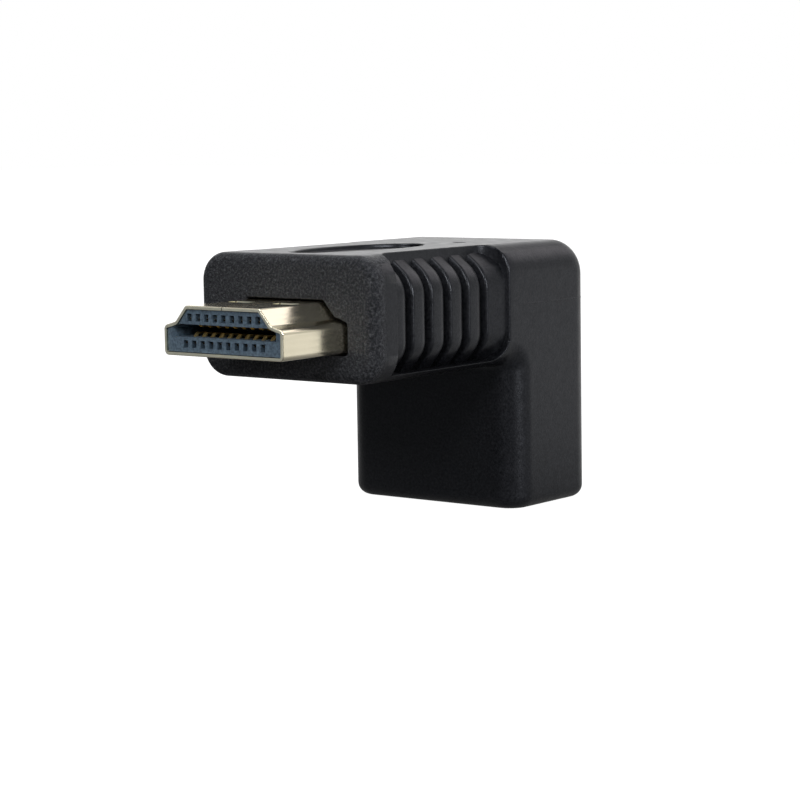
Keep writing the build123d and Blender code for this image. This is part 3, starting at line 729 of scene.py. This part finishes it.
def parting_line():
    """A fine raised line around the sides and the back, where the mould's two halves met."""
    start = COLLAR_LENGTH + GRIP_COUNT * GRIP_PITCH + GRIP_END_RADIUS + PARTING_WIDTH
    turn_from = BACK - TOP_EDGE_RADIUS
    corner = Vector((HALF_WIDTH - TOP_EDGE_RADIUS, turn_from))
    along_side = [lerp(start, turn_from, share) for share in shares(PARTING_SIDE_STEPS)]
    path = [(Vector((HALF_WIDTH, y)), Vector((1, 0))) for y in along_side]
    for share in shares(PARTING_CORNER_STEPS, 1):
        outwards = Vector((cos(pi / 2 * share), sin(pi / 2 * share)))
        path.append((corner + outwards * TOP_EDGE_RADIUS, outwards))
    across_back = [corner.x * (1 - share) for share in shares(PARTING_BACK_STEPS, 1)]
    path += [(Vector((x, BACK)), Vector((0, 1))) for x in across_back]
    path += [(Vector((-p.x, p.y)), Vector((-out.x, out.y))) for p, out in reversed(path[:-1])]
    half = PARTING_WIDTH / 2
    turns = [pi * share for share in shares(PARTING_CREST_STEPS)]
    crest = [(PARTING_RISE * sin(turn), half * cos(turn)) for turn in turns]
    profile = [(-PARTING_SUNK, half)] + crest + [(-PARTING_SUNK, -half)]
    size = len(profile)
    vertices = []
    for place, (point, outwards) in enumerate(path):
        fade = min(1.0, place / PARTING_FADE_STEPS, (len(path) - 1 - place) / PARTING_FADE_STEPS)
        for out, up in profile:
            reach = out * fade if out > 0 else out
            spot = point + outwards * (reach - PARTING_TUCK * (1 - fade))
            vertices.append(Vector((spot.x, spot.y, PARTING_HEIGHT + up)))
    faces = []
    for row in range(len(path) - 1):
        here = list(range(row * size, (row + 1) * size))
        faces += bridge(here, [number + size for number in here])
    faces.append(tuple(range(size)))
    faces.append(tuple(range(len(vertices) - size, len(vertices))))
    return make_piece("parting_line", vertices, faces)


def rows_between(stations, low, high):
    """First and last row of the arm's top between two places along Y."""
    inside = [
        row for row, station in enumerate(stations)
        if station.outer.y == ARM_TOP and low <= station.outer.x <= high and station.inset == 0
    ]
    return inside[0], inside[-1]


def make_piece(name, vertices, faces):
    """A mesh piece from points in millimetres, with outward faces, smooth between its sharp edges."""
    data = bpy.data.meshes.new(name)
    data.from_pydata([tuple(v * MM) for v in vertices], [], faces)
    work = bmesh.new()
    work.from_mesh(data)
    bmesh.ops.recalc_face_normals(work, faces=work.faces)
    work.to_mesh(data)
    work.free()
    data.shade_smooth()
    data.set_sharp_from_angle(angle=SHARP_ANGLE)
    piece = bpy.data.objects.new(name, data)
    bpy.context.scene.collection.objects.link(piece)
    weighted = piece.modifiers.new("weighted_normals", "WEIGHTED_NORMAL")
    weighted.keep_sharp = True
    weighted.weight = 80
    return piece


class Nodes:
    """A node tree, with short calls for the nodes used here."""

    def __init__(self, tree):
        self.tree = tree

    def node(self, kind, **values):
        made = self.tree.nodes.new("ShaderNode" + kind)
        for key, value in values.items():
            setattr(made, key, value)
        return made

    def feed(self, socket, value):
        """Links a node's output to a socket, or sets a plain number or colour on it."""
        if isinstance(value, bpy.types.NodeSocket):
            self.tree.links.new(value, socket)
        else:
            socket.default_value = value

    def split(self, vector):
        """The parts of a vector, by the names X, Y and Z."""
        node = self.node("SeparateXYZ")
        self.feed(node.inputs["Vector"], vector)
        return node.outputs

    def spread(self, value, low, high, new_low, new_high, soft=False):
        """A value from low to high, spread from new_low to new_high."""
        node = self.node("MapRange", interpolation_type="SMOOTHSTEP" if soft else "LINEAR")
        limits = {"From Min": low, "From Max": high, "To Min": new_low, "To Max": new_high}
        for name, limit in limits.items():
            self.feed(node.inputs[name], limit)
        self.feed(node.inputs["Value"], value)
        return node.outputs["Result"]

    def math(self, operation, first, second):
        node = self.node("Math", operation=operation)
        self.feed(node.inputs[0], first)
        self.feed(node.inputs[1], second)
        return node.outputs["Value"]


class Shading(Nodes):
    """A material's nodes, with short calls for its patterns and its shader."""

    def __init__(self, name):
        self.material = bpy.data.materials.new(name)
        self.material.use_nodes = True
        super().__init__(self.material.node_tree)
        self.shader = self.tree.nodes["Principled BSDF"]

    def use(self, name, value):
        """Gives one of the shader's inputs a node's output, a plain number or a colour."""
        self.feed(self.shader.inputs[name], value)

    def place(self):
        """The point of the surface, in metres."""
        return self.node("TexCoord").outputs["Object"]

    def facing(self, axis):
        """How far the surface faces along an axis, from -1 to 1."""
        return self.split(self.node("NewGeometry").outputs["Normal"])[axis]

    def noise(self, scale, detail=2.0, roughness=0.5, stretch=(1, 1, 1)):
        """A noise with about this many patches to a metre."""
        mapping = self.node("Mapping")
        self.feed(mapping.inputs["Scale"], stretch)
        self.feed(mapping.inputs["Vector"], self.place())
        noise = self.node("TexNoise")
        self.feed(noise.inputs["Scale"], scale)
        self.feed(noise.inputs["Detail"], detail)
        self.feed(noise.inputs["Roughness"], roughness)
        self.feed(noise.inputs["Vector"], mapping.outputs["Vector"])
        return noise.outputs["Fac"]

    def varied(self, noise, low, high):
        """A number that a noise varies between two limits."""
        return self.spread(noise, NOISE_LOW, NOISE_HIGH, low, high)

    def ramp(self, value, stops):
        """Colours at their places along a value."""
        node = self.node("ValToRGB")
        elements = node.color_ramp.elements
        while len(elements) < len(stops):
            elements.new(0.5)
        for element, (position, colour) in zip(elements, stops):
            element.position = position
            element.color = (*colour, 1)
        self.feed(node.inputs["Fac"], value)
        return node.outputs["Color"]

    def mottled(self, noise, dark, light):
        """A colour that a noise varies between two."""
        return self.ramp(noise, [(NOISE_LOW, dark), (NOISE_HIGH, light)])

    def mixed(self, share, first, second):
        """The first colour where share is 0 and the second, a plain one, where it is 1."""
        node = self.node("Mix", data_type="RGBA")
        self.feed(node.inputs["Factor"], share)
        self.feed(node.inputs["A"], first)
        self.feed(node.inputs["B"], (*second, 1))
        return node.outputs["Result"]

    def bump(self, height, strength, distance, before=None):
        node = self.node("Bump")
        self.feed(node.inputs["Strength"], strength)
        self.feed(node.inputs["Distance"], distance)
        self.feed(node.inputs["Height"], height)
        if before is not None:
            self.feed(node.inputs["Normal"], before)
        return node.outputs["Normal"]


def body_plastic():
    """Black plastic from a spark-eroded mould: grainy on the front, finer elsewhere, and darker behind the
    front, partly as painted shade.
    """
    shading = Shading("body_plastic")
    grain = shading.noise(4300, 4.0, 0.7)
    mottle = shading.noise(900, 2.0)
    upwards = shading.spread(shading.facing("Z"), 0.6, 1.0, 0.0, 1.0)
    later = shading.math("MULTIPLY", upwards, TOP_GRAIN_LATER * MM)
    along = shading.math("SUBTRACT", shading.split(shading.place())["Y"], later)
    coarse = shading.spread(along, COARSE_UNTIL * MM, FINE_FROM * MM, 1.0, FINE_GRAIN)

    def with_grain(fine_value, coarse_value):
        return shading.spread(coarse, FINE_GRAIN, 1.0, fine_value, coarse_value)

    tone = shading.math("MULTIPLY", shading.math("SUBTRACT", grain, 0.5), with_grain(0.4, 1.3))
    # Colour: paler on the grainy front, darker behind it, where the darker level is partly painted shade
    # for the grip's grooves and the leg's front.
    shading.use("Base Color", shading.ramp(shading.math("ADD", tone, with_grain(0.39, 0.52)), [
        (0.34, (0.0006, 0.0008, 0.0014)),
        (0.52, (0.0165, 0.0173, 0.0200)),
        (0.80, (0.085, 0.088, 0.094)),
    ]))
    duller = shading.math("MULTIPLY", with_grain(0.0, 0.20), shading.math("SUBTRACT", 1.0, upwards))
    shading.use("Roughness", shading.math("ADD", shading.varied(mottle, 0.28, 0.36), duller))
    strength = shading.math("MULTIPLY", coarse, shading.spread(upwards, 0.0, 1.0, 1.0, 0.05))
    grainy = shading.bump(grain, strength, 0.30 * MM)
    shading.use("Normal", shading.bump(mottle, 0.25, 0.08 * MM, grainy))
    shading.use("Specular IOR Level", 0.31)
    shading.use("Specular Tint", (0.86, 0.90, 1.0, 1))
    return shading.material


def inner_plastic():
    """The first moulding's plain black plastic."""
    shading = Shading("inner_plastic")
    grain = shading.noise(3500, 2.0)
    shading.use("Base Color", shading.mottled(grain, (0.004, 0.004, 0.005), (0.012, 0.012, 0.013)))
    shading.use("Roughness", shading.varied(grain, 0.4, 0.55))
    shading.use("Normal", shading.bump(grain, 0.3, 0.03 * MM))
    return shading.material


def plating(name, light, dark, roughness, cut_and_shade_colour, cut_roughness):
    """Gold flash over nickel: rolled sheet with fine drawing lines, and duller edges where it was cut. On
    the contacts the cut colour is near black: painted shade for their ends inside the insulator's holes.
    """
    shading = Shading(name)
    tone = shading.noise(260, 3.0)
    lines = shading.noise(2600, 2.0, 0.5, stretch=(1.0, 0.06, 1.0))
    cut = shading.spread(shading.facing("Y"), CUT_FROM, CUT_FULL, 0.0, 1.0)
    sheet = shading.ramp(tone, [(0.32, dark), (0.68, light)])
    drawn = shading.varied(lines, roughness * 0.8, roughness * 1.3)
    duller = shading.math("MULTIPLY", cut, cut_roughness - roughness)
    shading.use("Base Color", shading.mixed(cut, sheet, cut_and_shade_colour))
    shading.use("Roughness", shading.math("ADD", drawn, duller))
    shading.use("Normal", shading.bump(lines, 0.04, 0.01 * MM))
    shading.use("Metallic", 1.0)
    return shading.material


def block_plastic(name, light, dark):
    """Glass-filled plastic of the connector blocks, matt and slightly mottled."""
    shading = Shading(name)
    grain = shading.noise(4200, 3.0, 0.6)
    patches = shading.noise(700, 2.0)
    shading.use("Base Color", shading.mottled(grain, dark, light))
    shading.use("Roughness", shading.varied(patches, 0.38, 0.55))
    shading.use("Normal", shading.bump(grain, 0.35, 0.03 * MM))
    return shading.material


def laminate():
    """Green solder mask over woven glass."""
    shading = Shading("board_laminate")
    weave = shading.node("TexWave", wave_type="BANDS", bands_direction="DIAGONAL")
    shading.feed(weave.inputs["Scale"], 900)
    shading.feed(weave.inputs["Vector"], shading.place())
    tone = shading.noise(500, 2.0)
    shading.use("Base Color", shading.mottled(tone, (0.01, 0.09, 0.035), (0.02, 0.15, 0.06)))
    shading.use("Roughness", 0.35)
    shading.use("Normal", shading.bump(weave.outputs["Fac"], 0.2, 0.02 * MM))
    return shading.material


def floor_finish():
    """Matt and dark to the light, white to the camera, and pale behind the object in reflections."""
    shading = Shading("floor")
    rays = shading.node("LightPath").outputs
    seen = shading.math("MAXIMUM", rays["Is Camera Ray"], rays["Is Transmission Ray"])
    pale = shading.spread(shading.split(shading.place())["Y"], 0.0, FLOOR_PALE_FROM, 0.0, FLOOR_BEHIND)
    mirrored = shading.math("MULTIPLY", rays["Is Glossy Ray"], pale)
    shading.use("Base Color", (0.16, 0.16, 0.16, 1))
    shading.use("Roughness", 0.9)
    shading.use("Specular IOR Level", 0.1)
    shading.use("Emission Color", (1, 1, 1, 1))
    shading.use("Emission Strength", shading.math("ADD", seen, mirrored))
    return shading.material


def dress(names, material):
    for name in names:
        data = nodes[name].data
        data.materials.clear()
        data.materials.append(material)


def dress_cad_nodes():
    """Finishes for the pieces that keep their CAD shape."""
    dress(["inner_mould"], inner_plastic())
    dress(["circuit_board"], laminate())
    dress(["plug_shell"], plating(
        "plug_plating",
        light=(0.90, 0.83, 0.64),
        dark=(0.84, 0.77, 0.58),
        roughness=0.17,
        cut_and_shade_colour=(0.95, 0.94, 0.78),
        cut_roughness=0.5,
    ))
    dress(["socket_shell"], plating(
        "socket_plating",
        light=(0.88, 0.76, 0.50),
        dark=(0.80, 0.66, 0.40),
        roughness=0.22,
        cut_and_shade_colour=(0.90, 0.84, 0.66),
        cut_roughness=0.4,
    ))
    plug_block = block_plastic("plug_block", light=(0.105, 0.155, 0.205), dark=(0.035, 0.053, 0.075))
    dress(["plug_insulator"], plug_block)
    socket_block = block_plastic("socket_block", light=(0.016, 0.016, 0.018), dark=(0.006, 0.006, 0.007))
    dress(["socket_insulator"], socket_block)
    contacts = [name for name in nodes if "contact" in name]
    dress(contacts, plating(
        "contact_plating",
        light=(1.0, 0.78, 0.36),
        dark=(0.92, 0.68, 0.28),
        roughness=0.42,
        # near black: painted shade on the contacts' ends, deep in the insulator's holes
        cut_and_shade_colour=(0.05, 0.04, 0.03),
        cut_roughness=0.5,
    ))


def make_camera():
    data = bpy.data.cameras.new("camera")
    data.sensor_width = SENSOR
    data.lens = LENS
    data.clip_start = 0.01
    data.clip_end = 20.0
    camera = bpy.data.objects.new("camera", data)
    bpy.context.scene.collection.objects.link(camera)
    turn = Matrix.Rotation(CAMERA_YAW, 4, "Z") @ Matrix.Rotation(pi / 2 + CAMERA_PITCH, 4, "X")
    turn = turn @ Matrix.Rotation(CAMERA_ROLL, 4, "Z")
    camera.matrix_world = Matrix.Translation(CAMERA_PLACE) @ turn
    bpy.context.scene.camera = camera


def make_floor(height):
    half = FLOOR_SIZE / 2
    data = bpy.data.meshes.new("floor")
    corners = [(-half, -half, height), (half, -half, height), (half, half, height), (-half, half, height)]
    data.from_pydata(corners, [], [(0, 1, 2, 3)])
    data.materials.append(floor_finish())
    floor = bpy.data.objects.new("floor", data)
    bpy.context.scene.collection.objects.link(floor)


def make_world():
    """White where the camera looks, and a studio for reflections: pale behind and above, dark in front."""
    world = bpy.data.worlds.new("world")
    bpy.context.scene.world = world
    world.use_nodes = True
    sky = Nodes(world.node_tree)
    background = world.node_tree.nodes["Background"]
    seen = sky.node("LightPath").outputs["Is Camera Ray"]
    direction = sky.split(sky.node("TexCoord").outputs["Generated"])
    behind = sky.spread(direction["Y"], -0.3, 0.6, STUDIO_FRONT, STUDIO_BACK, soft=True)
    above = sky.spread(direction["Z"], 0.0, 0.8, 0.0, STUDIO_TOP, soft=True)
    studio = sky.math("MAXIMUM", behind, above)
    sky.feed(background.inputs["Color"], (1, 1, 1, 1))
    sky.feed(background.inputs["Strength"], sky.math("MAXIMUM", seen, studio))


def make_light(name, place, size, power, colour=(1, 1, 1)):
    """A soft lamp, in metres and watts, turned to the adapter."""
    data = bpy.data.lights.new(name, "AREA")
    data.shape = "RECTANGLE"
    data.size, data.size_y = size
    data.energy = power
    data.color = colour
    light = bpy.data.objects.new(name, data)
    light.location = place
    light.rotation_mode = "QUATERNION"
    light.rotation_quaternion = (LIGHT_TARGET - Vector(place)).to_track_quat("-Z", "Y")
    bpy.context.scene.collection.objects.link(light)


make_camera()
body = moulded_body()
body.data.materials.append(body_plastic())
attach(body, "root")
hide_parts("outer_body")
line = parting_line()
line.data.materials.append(body.data.materials[0])
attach(line, "root")
dress_cad_nodes()

make_floor(cad_low.z)
make_world()
make_light("overhead", (-0.02, -0.16, 0.44), (0.30, 0.22), 0.8)
make_light("front", (0.17, -0.40, 0.22), (0.13, 0.13), 1.0)
make_light("beside", (0.48, -0.08, 0.12), (0.12, 0.12), 1.3)
make_light("sky", (0.118, 0.43, 0.323), (0.30, 0.30), 0.24, colour=(1.0, 0.92, 0.96))
make_light("back_left", (-0.40, 0.52, 0.12), (0.60, 0.30), 0.42)
bpy.context.scene.view_settings.view_transform = "Standard"
